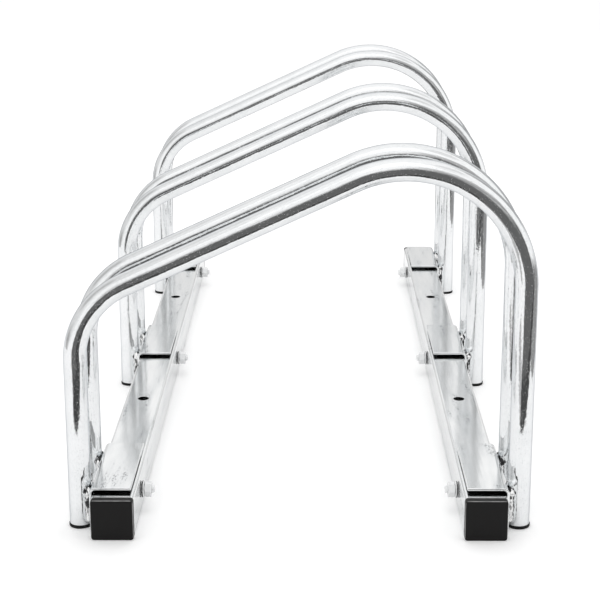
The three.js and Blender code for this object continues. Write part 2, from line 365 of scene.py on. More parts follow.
def satin_zinc_plate():
    """Satin zinc electroplate on cold-rolled steel.

    It blurs what it reflects into soft streaks along the rolling direction, with soft grey smudges and, here
    and there, a patch of small dark flecks in the darkest of the smudges.
    """
    material, tree, surface = new_material("satin zinc plate on rolled steel")
    place = add_node(tree, "ShaderNodeTexCoord").outputs["Object"]
    # Rolling lines along Y are really about 0.2 mm apart, drawn 0.8 mm apart and 60 mm long so that they show
    lines = grain(tree, place, 60, 0.8, detail=4, axis=1)
    # Smudges: about 8 mm wide and 60 mm long
    smudges = grain(tree, place, 60, 8, detail=2, axis=1)
    # Flecks: about 0.8 mm wide and 2.5 mm long, only in the darkest of the smudges
    flecks = grain(tree, place, 2.5, 0.8, detail=2, axis=1)
    flecks = add_node(tree, "ShaderNodeMapRange", {"Value": flecks, "From Min": 0.52, "From Max": 0.62})
    masked_places = add_node(
        tree, "ShaderNodeMapRange", {"Value": smudges, "From Min": 0.58, "From Max": 0.68},
        interpolation_type="SMOOTHSTEP")
    flecks = add_node(
        tree, "ShaderNodeMath", {0: flecks.outputs[0], 1: masked_places.outputs[0]}, operation="MULTIPLY")
    # Waviness of the sheet: about 10 mm across and 40 mm long
    waves = grain(tree, place, 40, 10, detail=1, axis=1)
    tone = add_node(tree, "ShaderNodeMapRange", {"Value": smudges, "From Min": 0.35, "From Max": 0.7})
    colour = add_node(
        tree, "ShaderNodeMix", {"Factor": tone.outputs[0], "A": linear("f4f5f5"), "B": linear("e6e8e9")},
        data_type="RGBA")
    colour = add_node(
        tree, "ShaderNodeMix",
        {"Factor": flecks.outputs[0], "A": colour.outputs["Result"], "B": linear("a6a8aa")}, data_type="RGBA")
    rough = add_node(
        tree, "ShaderNodeMapRange",
        {"Value": smudges, "From Min": 0.3, "From Max": 0.7, "To Min": 0.1, "To Max": 0.16})
    relief = add_node(tree, "ShaderNodeBump", {"Height": lines, "Strength": 1.0, "Distance": 0.01 * MM})
    relief = add_node(
        tree, "ShaderNodeBump",
        {"Height": waves, "Strength": 1.0, "Distance": 0.08 * MM, "Normal": relief.outputs[0]})
    surface.inputs["Metallic"].default_value = 1.0
    tree.links.new(colour.outputs["Result"], surface.inputs["Base Color"])
    tree.links.new(rough.outputs[0], surface.inputs["Roughness"])
    tree.links.new(relief.outputs[0], surface.inputs["Normal"])
    return material


def plated_weld():
    """Weld bead under the same zinc plate: glossy lumps, with painted shade nearly black in the hollows.

    The painted shade is strongest on the upper part of a bead.
    """
    material, tree, surface = new_material("zinc plated weld bead")
    place = add_node(tree, "ShaderNodeTexCoord").outputs["Object"]
    # Hollows: about 3 mm wide and 9 mm high
    hollows = grain(tree, place, 9, 3, detail=2, axis=2)
    # Painted shade in the hollows between the lumps
    painted_hollow_shade = add_node(
        tree, "ShaderNodeMapRange", {"Value": hollows, "From Min": 0.48, "From Max": 0.55},
        interpolation_type="SMOOTHSTEP")
    # Painted shade: whole from 17 mm up, and a third of that under 10 mm
    height = add_node(tree, "ShaderNodeSeparateXYZ", {"Vector": place}).outputs["Z"]
    painted_shade_height = add_node(
        tree, "ShaderNodeMapRange",
        {"Value": height, "From Min": 10 * MM, "From Max": 17 * MM, "To Min": 0.3, "To Max": 1.0})
    painted_hollow_shade = add_node(
        tree, "ShaderNodeMath", {0: painted_hollow_shade.outputs[0], 1: painted_shade_height.outputs[0]}, operation="MULTIPLY")
    # The dark colour is the painted shade
    colour = add_node(
        tree, "ShaderNodeMix", {"Factor": painted_hollow_shade.outputs[0], "A": linear("fbfbfb"), "B": linear("2c2d2e")},
        data_type="RGBA")
    relief = add_node(tree, "ShaderNodeBump", {"Height": hollows, "Strength": 1.0, "Distance": -0.9 * MM})
    surface.inputs["Metallic"].default_value = 0.7
    surface.inputs["Roughness"].default_value = 0.15
    tree.links.new(colour.outputs["Result"], surface.inputs["Base Color"])
    tree.links.new(relief.outputs[0], surface.inputs["Normal"])
    return material


def fastener_zinc():
    """Barrel-plated zinc on cold-headed steel: semi-bright, finely dented all over from tumbling."""
    material, tree, surface = new_material("barrel plated zinc fastener")
    place = add_node(tree, "ShaderNodeTexCoord").outputs["Object"]
    # Dents: about 0.9 mm
    dents = add_node(tree, "ShaderNodeTexNoise", {"Vector": place, "Scale": 1 / (0.9 * MM), "Detail": 2.0})
    colour = add_node(
        tree, "ShaderNodeMix", {"Factor": dents.outputs["Fac"], "A": linear("ffffff"), "B": linear("eef0f1")},
        data_type="RGBA")
    relief = add_node(
        tree, "ShaderNodeBump", {"Height": dents.outputs["Fac"], "Strength": 1.0, "Distance": 0.06 * MM})
    # Barrel plate is milky, so most of its light is scattered
    surface.inputs["Metallic"].default_value = 0.12
    surface.inputs["Roughness"].default_value = 0.22
    tree.links.new(colour.outputs["Result"], surface.inputs["Base Color"])
    tree.links.new(relief.outputs[0], surface.inputs["Normal"])
    return material


def painted_washer_rim_shade():
    """Painted contact shadow and reflection on a washer's rim next to the rail: dull and nearly black."""
    material, tree, surface = new_material("painted shade on a washer rim")
    place = add_node(tree, "ShaderNodeTexCoord").outputs["Object"]
    # Mottle in the painted shade: about 0.7 mm
    rim_shade_mottle = add_node(tree, "ShaderNodeTexNoise", {"Vector": place, "Scale": 1 / (0.7 * MM), "Detail": 2.0})
    # Nearly black colours: the painted shade
    colour = add_node(
        tree, "ShaderNodeMix", {"Factor": rim_shade_mottle.outputs["Fac"], "A": linear("0c0c0c"), "B": linear("262626")},
        data_type="RGBA")
    surface.inputs["Metallic"].default_value = 1.0
    surface.inputs["Roughness"].default_value = 0.45
    tree.links.new(colour.outputs["Result"], surface.inputs["Base Color"])
    return material


def cap_edge_highlights(tree, place):
    """1 on the painted highlight lines round an end cap's head, 0 on its faces and on the foot plugs."""
    axes = add_node(tree, "ShaderNodeSeparateXYZ", {"Vector": place}).outputs
    from_middle = add_node(tree, "ShaderNodeMath", {0: axes["X"]}, operation="ABSOLUTE")
    across = add_node(tree, "ShaderNodeMath", {0: from_middle.outputs[0], 1: RAIL_X}, operation="SUBTRACT")
    across = add_node(tree, "ShaderNodeMath", {0: across.outputs[0]}, operation="ABSOLUTE")
    up = add_node(tree, "ShaderNodeMath", {0: axes["Z"], 1: RAIL_SIZE / 2}, operation="SUBTRACT")
    up = add_node(tree, "ShaderNodeMath", {0: up.outputs[0]}, operation="ABSOLUTE")
    reach = add_node(tree, "ShaderNodeMath", {0: across.outputs[0], 1: up.outputs[0]}, operation="MAXIMUM")
    out = add_node(tree, "ShaderNodeMath", {0: axes["Y"]}, operation="ABSOLUTE")
    front = -CAP_LOW.y
    edges = None
    for edge_out, edge_reach in (
        (front - HIGHLIGHT_FRONT, RAIL_SIZE / 2 - HIGHLIGHT_FRONT),
        (front - CAP_HEAD + HIGHLIGHT_BACK, RAIL_SIZE / 2 - HIGHLIGHT_SIDE),
    ):
        along = add_node(
            tree, "ShaderNodeMath", {0: out.outputs[0], 1: edge_out, 2: HIGHLIGHT_WIDTH}, operation="COMPARE")
        beside = add_node(
            tree, "ShaderNodeMath", {0: reach.outputs[0], 1: edge_reach, 2: HIGHLIGHT_WIDTH}, operation="COMPARE")
        edge = add_node(
            tree, "ShaderNodeMath", {0: along.outputs[0], 1: beside.outputs[0]}, operation="MULTIPLY")
        if edges is None:
            edges = edge
        else:
            edges = add_node(
                tree, "ShaderNodeMath", {0: edges.outputs[0], 1: edge.outputs[0]}, operation="MAXIMUM")
    return edges.outputs[0]


def moulded_plastic():
    """Black polyethylene, injection moulded: a fine spark-eroded grain gives a dull sheen.

    Thin lines along the edges of the caps' heads are painted light grey, as highlights.
    """
    material, tree, surface = new_material("black moulded polyethylene")
    place = add_node(tree, "ShaderNodeTexCoord").outputs["Object"]
    # Spark pits are really 0.1 mm, drawn at 0.4 mm so that they show
    pits = add_node(tree, "ShaderNodeTexNoise", {"Vector": place, "Scale": 1 / (0.4 * MM), "Detail": 2.0})
    # Flow marks and handling: about 8 mm
    marks = add_node(tree, "ShaderNodeTexNoise", {"Vector": place, "Scale": 1 / (8 * MM), "Detail": 3.0})
    colour = add_node(
        tree, "ShaderNodeMix", {"Factor": marks.outputs["Fac"], "A": linear("0f0e0e"), "B": linear("171616")},
        data_type="RGBA")
    # Painted highlight: light grey lines along the caps' edges, broken up by the marks
    masked_places = cap_edge_highlights(tree, place)
    masked_places = add_node(tree, "ShaderNodeMath", {0: masked_places, 1: marks.outputs["Fac"]}, operation="MULTIPLY")
    colour = add_node(
        tree, "ShaderNodeMix",
        {"Factor": masked_places.outputs[0], "A": colour.outputs["Result"], "B": linear("c8c8c8")}, data_type="RGBA")
    rough = add_node(
        tree, "ShaderNodeMapRange",
        {"Value": marks.outputs["Fac"], "From Min": 0.3, "From Max": 0.7, "To Min": 0.38, "To Max": 0.5})
    relief = add_node(
        tree, "ShaderNodeBump", {"Height": pits.outputs["Fac"], "Strength": 1.0, "Distance": 0.01 * MM})
    surface.inputs["IOR"].default_value = 1.5
    surface.inputs["Specular IOR Level"].default_value = 0.2
    tree.links.new(colour.outputs["Result"], surface.inputs["Base Color"])
    tree.links.new(rough.outputs[0], surface.inputs["Roughness"])
    tree.links.new(relief.outputs[0], surface.inputs["Normal"])
    return material


# Centreline of a hoop in the plane Y = 0: up the low leg, round the low bend, up the slope, round the high
# bend and down the high leg
HIGH_CENTRE = Vector((LEG_X - HIGH_BEND, 0, TUBE_TOP - TUBE_RADIUS - HIGH_BEND))
SLOPE_RUN = HIGH_CENTRE.x - (LOW_BEND - LEG_X)
SLOPE_RISE = (math.sin(SLOPE) * SLOPE_RUN - (HIGH_BEND - LOW_BEND)) / math.cos(SLOPE)
LOW_CENTRE = Vector((LOW_BEND - LEG_X, 0, HIGH_CENTRE.z - SLOPE_RISE))
LOW_TURN = math.pi / 2 - SLOPE
HIGH_TURN = math.pi / 2 + SLOPE
UPHILL = Vector((math.cos(SLOPE), 0, math.sin(SLOPE)))
OUTWARD = Vector((-math.sin(SLOPE), 0, math.cos(SLOPE)))
SLOPE_START = LOW_CENTRE + LOW_BEND * OUTWARD
SLOPE_LENGTH = (HIGH_CENTRE + HIGH_BEND * OUTWARD - SLOPE_START).length


def straightened(point):
    """Where a point of a hoop lies if its tube is made straight: along it, towards the outside, across."""
    low_angle = math.atan2(point.z - LOW_CENTRE.z, LOW_CENTRE.x - point.x)
    high_angle = math.atan2(point.z - HIGH_CENTRE.z, HIGH_CENTRE.x - point.x)
    leg = LOW_CENTRE.z - TUBE_BOTTOM
    bend_end = leg + LOW_BEND * LOW_TURN
    slope_end = bend_end + SLOPE_LENGTH
    if point.x < LOW_CENTRE.x and point.z < LOW_CENTRE.z:
        return point.z - TUBE_BOTTOM, -LEG_X - point.x, point.y
    if point.x > HIGH_CENTRE.x and point.z < HIGH_CENTRE.z:
        return slope_end + HIGH_BEND * HIGH_TURN + HIGH_CENTRE.z - point.z, point.x - LEG_X, point.y
    if low_angle < LOW_TURN:
        return leg + LOW_BEND * low_angle, (point - LOW_CENTRE).xz.length - LOW_BEND, point.y
    if high_angle > LOW_TURN:
        turn = high_angle - LOW_TURN
        return slope_end + HIGH_BEND * turn, (point - HIGH_CENTRE).xz.length - HIGH_BEND, point.y
    from_start = point - SLOPE_START
    return bend_end + from_start.dot(UPHILL), from_start.dot(OUTWARD), point.y


def bent_tube():
    """A hoop: one ring drawn up, round the low bend, up the slope, round the high bend and down."""
    foot = (-LEG_X, 0, TUBE_BOTTOM)
    piece = start(bpy.ops.mesh.primitive_circle_add, location=foot, vertices=TUBE_SIDES, radius=TUBE_RADIUS)
    choose("VERT", anywhere)
    extrude((0, 0, LOW_CENTRE.z - TUBE_BOTTOM))
    low_steps = round(LOW_TURN / BEND_STEP)
    bpy.ops.mesh.spin(steps=low_steps, angle=LOW_TURN, center=LOW_CENTRE, axis=(0, -1, 0))
    extrude(SLOPE_LENGTH * UPHILL)
    high_steps = round(HIGH_TURN / BEND_STEP)
    bpy.ops.mesh.spin(steps=high_steps, angle=HIGH_TURN, center=HIGH_CENTRE, axis=(0, -1, 0))
    extrude((0, 0, TUBE_BOTTOM - HIGH_CENTRE.z))
    clean_shell()
    modify(piece, "SOLIDIFY", thickness=TUBE_WALL, offset=-1)
    return piece


def mark_straightened(piece, middle_y, shift):
    """Keeps each corner's place on the straightened tube, so that draw lines follow the bends.

    The shift along the tube gives each hoop marks of its own.
    """
    marks = piece.data.attributes.new("straight_tube", "FLOAT_VECTOR", "POINT")
    for corner, mark in zip(piece.data.vertices, marks.data):
        along, outward, across = straightened(corner.co - Vector((0, middle_y, 0)))
        mark.vector = (along + shift, outward, across)


def rail_tube():
    """A rail: rounded square tube, open at both ends, drilled for its bolts and floor screws."""
    length = RAIL_HIGH.y - RAIL_LOW.y
    piece = start(
        bpy.ops.mesh.primitive_cube_add, location=(RAIL_X, 0, RAIL_SIZE / 2), size=1,
        scale=(RAIL_SIZE, length, RAIL_SIZE))
    choose("EDGE", lambda place, run: abs(run.y) > ALONG)
    bpy.ops.mesh.bevel(offset=RAIL_CORNER, segments=CORNER_STEPS, affect="EDGES")
    choose("FACE", lambda place, normal: abs(normal.y) > ALONG)
    bpy.ops.mesh.delete(type="FACE")
    stop_editing()
    modify(piece, "SOLIDIFY", thickness=RAIL_WALL, offset=-1)
    # The floor holes are half way between the pairs
    for pair, next_pair in zip(PAIRS, PAIRS[1:]):
        y = (PAIR_Y[pair] + PAIR_Y[next_pair]) / 2
        drill(piece, (RAIL_X, y, RAIL_SIZE / 2), FLOOR_HOLE / 2, 2 * RAIL_SIZE, BORE_SIDES)
    for y in PAIR_Y.values():
        drill(piece, (RAIL_X, y, RAIL_SIZE / 2), BOLT_HOLE / 2, 2 * RAIL_SIZE, BOLT_HOLE_SIDES, ALONG_X)
    round_edges(piece, CUT_EDGE)
    return piece


def angle_bracket():
    """A bracket: flat top plate, bent down outside the rail into a flange with a bolt hole."""
    bend_x = FLANGE_OUTSIDE - PLATE_BEND
    width = bend_x - BRACKET_LOW.x
    top = BRACKET_HIGH.z
    length = BRACKET_HIGH.y - BRACKET_LOW.y
    centre = (BRACKET_LOW.x + width / 2, 0, top)
    bend_centre = (bend_x, 0, top - PLATE_BEND)
    piece = start(bpy.ops.mesh.primitive_plane_add, location=centre, size=length)
    choose("VERT", anywhere)
    widen((width / length, 1, 1), centre)
    choose("EDGE", lambda place, run: place.x > bend_x - CUT_EDGE)
    bpy.ops.mesh.spin(steps=PLATE_BEND_STEPS, angle=math.pi / 2, center=bend_centre, axis=(0, -1, 0))
    extrude((0, 0, BRACKET_LOW.z - top + PLATE_BEND))
    clean_shell()
    # An open sheet has no inside, so its top is turned upwards before it gets its thickness
    if max(piece.data.polygons, key=lambda face: face.center.z).normal.z < 0:
        choose("FACE", anywhere)
        bpy.ops.mesh.flip_normals()
        stop_editing()
    modify(piece, "SOLIDIFY", thickness=PLATE, offset=-1)
    drill(piece, (RAIL_OUTSIDE, 0, RAIL_SIZE / 2), BOLT_HOLE / 2, RAIL_SIZE / 2, BOLT_HOLE_SIDES, ALONG_X)
    round_edges(piece, PLATE_EDGE, segments=4)
    return piece


def weld_bead(seed):
    """One weld bead, standing on the axis X = Y = 0: uneven lumps drawn up one by one, the largest on top."""
    draw = random.Random(seed)
    piece = start(
        bpy.ops.mesh.primitive_circle_add, location=(0, 0, BEAD_BOTTOM), vertices=BEAD_SIDES,
        radius=BEAD_RADIUS * BEAD_START, fill_type="NGON")
    choose("FACE", anywhere)
    lumps = round((BEAD_TOP - BEAD_BOTTOM) / BEAD_LUMP)
    swells = []
    for _ in range(lumps - 1):
        swells += [draw.uniform(*LUMP_SWELL), draw.uniform(*LUMP_WAIST)]
    swells += TOP_LUMP
    step_up = (BEAD_TOP - BEAD_BOTTOM) / len(swells)
    place = Vector((0, 0, BEAD_BOTTOM))
    size = BEAD_START
    for target in swells:
        wander = (draw.uniform(-BEAD_WANDER, BEAD_WANDER), draw.uniform(-BEAD_WANDER, BEAD_WANDER), 0)
        # Each step starts back at the axis, so that the bead wanders but doesn't lean
        step = Vector((-place.x, -place.y, step_up)) + Vector(wander)
        extrude(step)
        place += step
        widen((target / size, target / size, 1), place)
        size = target
    clean_shell()
    modify(piece, "SUBSURF", levels=2, render_levels=2)
    return piece


def end_cap():
    """An end cap at the front of a rail: rounded head, and a hollow stem inside the rail."""
    centre = Vector((RAIL_X, CAP_LOW.y + CAP_HEAD / 2, RAIL_SIZE / 2))
    stem = CAP_HIGH.y - CAP_LOW.y - CAP_HEAD
    piece = start(
        bpy.ops.mesh.primitive_cube_add, location=centre, size=1, scale=(RAIL_SIZE, CAP_HEAD, RAIL_SIZE))
    choose("EDGE", lambda place, run: abs(run.y) > ALONG)
    bpy.ops.mesh.bevel(offset=RAIL_CORNER, segments=CORNER_STEPS, affect="EDGES")
    choose("FACE", lambda place, normal: normal.y > ALONG)
    bpy.ops.mesh.inset(thickness=RAIL_WALL + CAP_STEM_GAP)
    extrude((0, stem, 0))
    bpy.ops.mesh.inset(thickness=CAP_STEM_WALL)
    extrude((0, -stem, 0))
    back = CAP_LOW.y + CAP_HEAD
    rim = RAIL_SIZE / 2 - CUT_EDGE - RAIL_CORNER

    def front_edge(place, run):
        return place.y < CAP_LOW.y + CUT_EDGE and abs(run.y) < ACROSS

    def back_edge(place, run):
        from_middle = max(abs(place.x - RAIL_X), abs(place.z - RAIL_SIZE / 2))
        return abs(place.y - back) < LEVEL and abs(run.y) < ACROSS and from_middle > rim

    choose("EDGE", front_edge)
    bpy.ops.mesh.bevel(offset=CAP_EDGE, segments=3, affect="EDGES")
    choose("EDGE", back_edge)
    bpy.ops.mesh.bevel(offset=CAP_EDGE / 2, segments=2, affect="EDGES")
    clean_shell()
    return piece


def foot_plug():
    """A foot plug: thin rounded head under the tube's end, and a stem inside the tube."""
    centre = (0, 0, PLUG_HEAD / 2)
    radius = (PLUG_HIGH.x - PLUG_LOW.x) / 2
    piece = start(
        bpy.ops.mesh.primitive_cylinder_add, location=centre, vertices=DISC_SIDES, radius=radius,
        depth=PLUG_HEAD)
    choose("FACE", lambda place, normal: normal.z > ALONG)
    bpy.ops.mesh.inset(thickness=radius - PLUG_STEM_RADIUS)
    extrude((0, 0, PLUG_HIGH.z - PLUG_HEAD))

    def top_rim(place, run):
        on_head = abs(place.z - PLUG_HEAD) < LEVEL and abs(run.z) < ACROSS
        return on_head and place.xy.length > radius - CUT_EDGE

    choose("EDGE", lambda place, run: place.z < CUT_EDGE)
    bpy.ops.mesh.bevel(offset=PLUG_EDGE, segments=4, affect="EDGES")
    choose("EDGE", top_rim)
    bpy.ops.mesh.bevel(offset=CUT_EDGE, segments=2, affect="EDGES")
    clean_shell()
    return piece


def hexagon(low_x, high_x, chamfered):
    """A hexagon bar along X, for a bolt head or a nut.

    The ends that are listed, -1 for low X and 1 for high X, are trimmed by a round bar with a cone there. The
    round bar is a hair wider than the hexagon, so it takes nothing off elsewhere.
    """
    middle_x = (low_x + high_x) / 2
    centre = (middle_x, 0, RAIL_SIZE / 2)
    corner = SPANNER / 2 / math.cos(math.pi / 6)
    piece = start(
        bpy.ops.mesh.primitive_cylinder_add, location=centre, vertices=6, radius=corner,
        depth=high_x - low_x, rotation=ALONG_X)
    cone = start(
        bpy.ops.mesh.primitive_cylinder_add, location=centre, vertices=CONE_SIDES,
        radius=corner * HAIR_WIDER, depth=high_x - low_x, rotation=ALONG_X)
    for side in chamfered:

        def on_rim(place, normal):
            from_axis = math.hypot(place.y, place.z - RAIL_SIZE / 2)
            return (place.x - middle_x) * side > 0 and from_axis > corner

        choose("FACE", lambda place, normal: normal.x * side > ALONG)
        extrude((0, 0, 0))
        factor = 1 - HEX_CHAMFER / corner
        end_x = low_x if side < 0 else high_x
        widen((1, factor, factor), (end_x, 0, RAIL_SIZE / 2))
        choose("VERT", on_rim)
        bpy.ops.transform.translate(value=(-side * HEX_CHAMFER * math.tan(HEX_CONE), 0, 0))
    clean_shell()
    cut(piece, cone, operation="INTERSECT")
    return piece


def carve_thread(co, tip):
    """Moves a corner of the shank onto the thread's helix, with a chamfer at the tip."""
    y, z = co.y, co.z - RAIL_SIZE / 2
    from_tip = co.x - tip
    if from_tip > THREAD_LENGTH or math.hypot(y, z) < THREAD_RADIUS / 2:
        return
    turns = from_tip / THREAD_PITCH + math.atan2(z, y) / (2 * math.pi)
    groove = abs(2 * (turns % 1) - 1)
    run_out = min(1, (THREAD_LENGTH - from_tip) / THREAD_PITCH)
    chamfer = max(0, TIP_CHAMFER - from_tip)
    radius = THREAD_RADIUS - max(THREAD_DEPTH * groove * run_out, chamfer)
    co.y = y * radius / THREAD_RADIUS
    co.z = RAIL_SIZE / 2 + z * radius / THREAD_RADIUS


def hex_bolt():
    """A bolt through flange and rail: chamfered hexagon head, plain shank, threaded end."""
    seat = BOLT_HIGH.x - BOLT_HEAD
    piece = hexagon(seat, BOLT_HIGH.x, chamfered=(1,))
    tip = BOLT_LOW.x
    length = seat + BOLT_HEAD / 2 - tip
    shank = start(
        bpy.ops.mesh.primitive_cylinder_add, location=(tip + length / 2, 0, RAIL_SIZE / 2),
        vertices=SHANK_SIDES, radius=THREAD_RADIUS, depth=length, rotation=ALONG_X)
    step = THREAD_PITCH / THREAD_STEPS
    for count in range(round(THREAD_LENGTH / step)):
        choose("FACE", anywhere)
        plane = tip + (count + 1) * step
        bpy.ops.mesh.bisect(plane_co=(plane, 0, 0), plane_no=(1, 0, 0))
    stop_editing()
    for corner in shank.data.vertices:
        carve_thread(corner.co, tip)
    cut(piece, shank, operation="UNION")
    choose("FACE", anywhere)
    clean_shell()
    return piece


def flat_washer():
    """A washer, with a seam round its rim, so that the half next to the rail can take the painted shade."""
    piece = start(
        bpy.ops.mesh.primitive_cylinder_add, location=(WASHER_MIDDLE, 0, RAIL_SIZE / 2), vertices=DISC_SIDES,
        radius=(WASHER_HIGH.y - WASHER_LOW.y) / 2, depth=WASHER_HIGH.x - WASHER_LOW.x, rotation=ALONG_X)
    hole_place = (WASHER_LOW.x, 0, RAIL_SIZE / 2)
    drill(piece, hole_place, THREAD_RADIUS + WASHER_GAP, RAIL_SIZE, BORE_SIDES, ALONG_X)
    round_edges(piece, CUT_EDGE / 2)
    choose("FACE", anywhere)
    bpy.ops.mesh.bisect(plane_co=(WASHER_MIDDLE, 0, 0), plane_no=(1, 0, 0))
    stop_editing()
    return piece


def hex_nut():
    """A nut, chamfered at both ends."""
    piece = hexagon(NUT_LOW.x, NUT_HIGH.x, chamfered=(-1, 1))
    drill(piece, (NUT_LOW.x, 0, RAIL_SIZE / 2), THREAD_RADIUS, RAIL_SIZE, BORE_SIDES, ALONG_X)
    round_edges(piece, CUT_EDGE / 2)
    return piece


# Finishes
bright = bright_zinc_plate()
satin = satin_zinc_plate()
weld_zinc = plated_weld()
fastener = fastener_zinc()
plastic = moulded_plastic()

# One of each piece
tube = bent_tube()
dress(tube, bright)
rail = rail_tube()
dress(rail, satin)
bracket = angle_bracket()
dress(bracket, satin)
beads = [weld_bead(seed) for seed in BEAD_SEEDS]
for bead in beads:
    dress(bead, weld_zinc, crease=BEAD_CREASE)
cap = end_cap()
dress(cap, plastic)
plug = foot_plug()
dress(plug, plastic)
bolt = hex_bolt()
dress(bolt, fastener)
washer = flat_washer()
dress(washer, fastener)
washer.data.materials.append(painted_washer_rim_shade())
for face in washer.data.polygons:
    # The half of the rim and of the hole next to the rail gets the painted shade
    if abs(face.normal.x) < ACROSS and face.center.x > WASHER_MIDDLE:
        face.material_index = 1
nut = hex_nut()
dress(nut, fastener)

# The rails and their caps
for side_name, side in SIDES.items():
    turn = 0 if side > 0 else math.pi
    settle(rail, f"rail_tube_{side_name}", "satin_zinc_steel", f"rail_{side_name}", turn=turn)
    for end_name, end in ENDS.items():
        # The half turn that takes a cap to the rear also takes it to the low side
        settle(
            cap, f"rail_cap_{side_name}_{end_name}", "black_plastic", f"end_cap_{side_name}_{end_name}",
            turn=0 if end < 0 else math.pi, move=(side * RAIL_X + end * RAIL_X, 0, 0))

# The pairs of hoops, with their foot plugs, weld beads, brackets and fasteners
for pair, pair_y in PAIR_Y.items():
    for end_name, end in ENDS.items():
        tube_y = pair_y + end * TUBE_OFFSET
        hoop = settle(
            tube, f"bent_tube_{pair}_{end_name}", "bright_zinc_tube", f"hoop_{pair}_{end_name}",
            move=(0, tube_y, 0))
        mark_straightened(hoop, tube_y, shift=pair + end / 4)
        for side_name, side in SIDES.items():
            settle(
                plug, f"tube_foot_{pair}_{end_name}_{side_name}", "black_plastic",
                f"foot_plug_{pair}_{end_name}_{side_name}", move=(side * LEG_X, tube_y, 0))
            for facing_name, facing in (("near", -1), ("far", 1)):
                # A number that differs between neighbours, so that no two neighbours look alike
                number = 4 * pair + 2 * (side > 0) + (end > 0) + 2 * (facing > 0)
                settle(
                    beads[number % len(beads)], f"weld_bead_{pair}_{side_name}_{end_name}_{facing_name}",
                    "satin_zinc_steel", turn=number * BEAD_TURN,
                    move=(side * BEAD_X, tube_y + facing * BEAD_OFFSET, 0))
    for side_name, side in SIDES.items():
        turn = 0 if side > 0 else math.pi
        for master, piece_name, node, slot in (
            (bracket, "angle_bracket", "bracket", "satin_zinc_steel"),
            (bolt, "hex_bolt", "bolt", "zinc_fastener"),
            (washer, "flat_washer", "washer", "zinc_fastener"),
            (nut, "hex_nut", "nut", "zinc_fastener"),
        ):
            settle(
                master, f"{piece_name}_{pair}_{side_name}", slot, f"{node}_{pair}_{side_name}", turn=turn,
                move=(0, pair_y, 0))

for master in (tube, rail, bracket, cap, plug, bolt, washer, nut, *beads):
    bpy.data.objects.remove(master)


# The set: a white table top, and a bright studio round it with dark gaps that only reflections show
TABLE_FRONT = -0.52
TABLE_BACK = 0.62
TABLE_LEFT = -0.9
TABLE_RIGHT = 0.48
# A painted shadow past the table's front edge: its width, where it begins on the left, and how dark it is
TABLE_EDGE_SHADOW = 0.13
EDGE_SHADOW_LEFT = -0.26
EDGE_SHADOW_DEPTH = 0.5
# The paper: its size, its white, its glow to the camera, and the share of that glow which the metal sees
FLOOR_SIZE = 12
FLOOR_WHITE = 0.93
FLOOR_LIFT = 0.16
GLOSSY_LIFT = 0.2
# How bright the studio is to all but the camera, where 1 is white
STUDIO_WHITE = 1.02

# Darker parts of the studio, in degrees. Headings are from -Y towards +X, heights are above the horizon.
# Each has its two headings and their softness, where it fades in and out going up, and how dark it is.
# A depth below zero is a brighter part.
SHADES = (
    ("dark room behind the camera", -24, 64, 5, (-91, -90), (9, 26), 0.87),
    ("dark stand left of the camera", -34, -16, 6, (0, 8), (16, 34), 0.35),
    ("dark stand right of the camera", 10, 48, 8, (10, 18), (27, 46), 0.55),
    ("dark shelf right of the camera", 46, 62, 6, (14, 18), (25, 33), 0.55),
    ("lit strip in the dark room", 24, 48, 10, (2, 8), (14, 20), -1.4),
    ("dark wall low on the right", 60, 124, 6, (-91, -90), (-8, 1), 0.7),
    ("gap low on the left", -108, -78, 6, (-91, -90), (-4, 8), 0.45),
    ("pillar on the left", -112, -84, 12, (12, 24), (42, 54), 0.34),
    ("grey wall on the left", -142, -62, 18, (-12, -4), (48, 62), 0.25),
    ("door behind on the right", 118, 146, 9, (0, 12), (36, 48), 0.58),
    ("far end of the room", 150, 210, 10, (0, 6), (14, 22), 0.25),
    ("dark floor at the far end", 152, 208, 8, (-91, -90), (-3, 5), 0.8),
    ("softbox above the camera", -60, 40, 12, (40, 52), (80, 88), -0.14),
    ("grey ceiling on the right", 46, 108, 12, (50, 58), (66, 74), 0.2),
)

# A lamp over the rack, a little behind its middle. A brightness of 1 is white.
LAMP_PLACE = Vector((0, 0.3, 1.9))
LAMP_AIM = Vector((0, 0, 0.1))
LAMP_SIZE = 1.4
LAMP_BRIGHTNESS = 1.25

# The camera that took the photo, fitted to the rack's edges. Its angles are in degrees, its lens is in
# millimetres, and its shift in pixels of the photo.
CAMERA_PLACE = (8.59 * MM, -1296.8 * MM, 453.8 * MM)
CAMERA_PITCH = 14.524
CAMERA_YAW = -0.46
CAMERA_ROLL = -0.094
CAMERA_LENS = 88.65
CAMERA_SENSOR = 36
CAMERA_SHIFT = -50
PHOTO_SIZE = 600


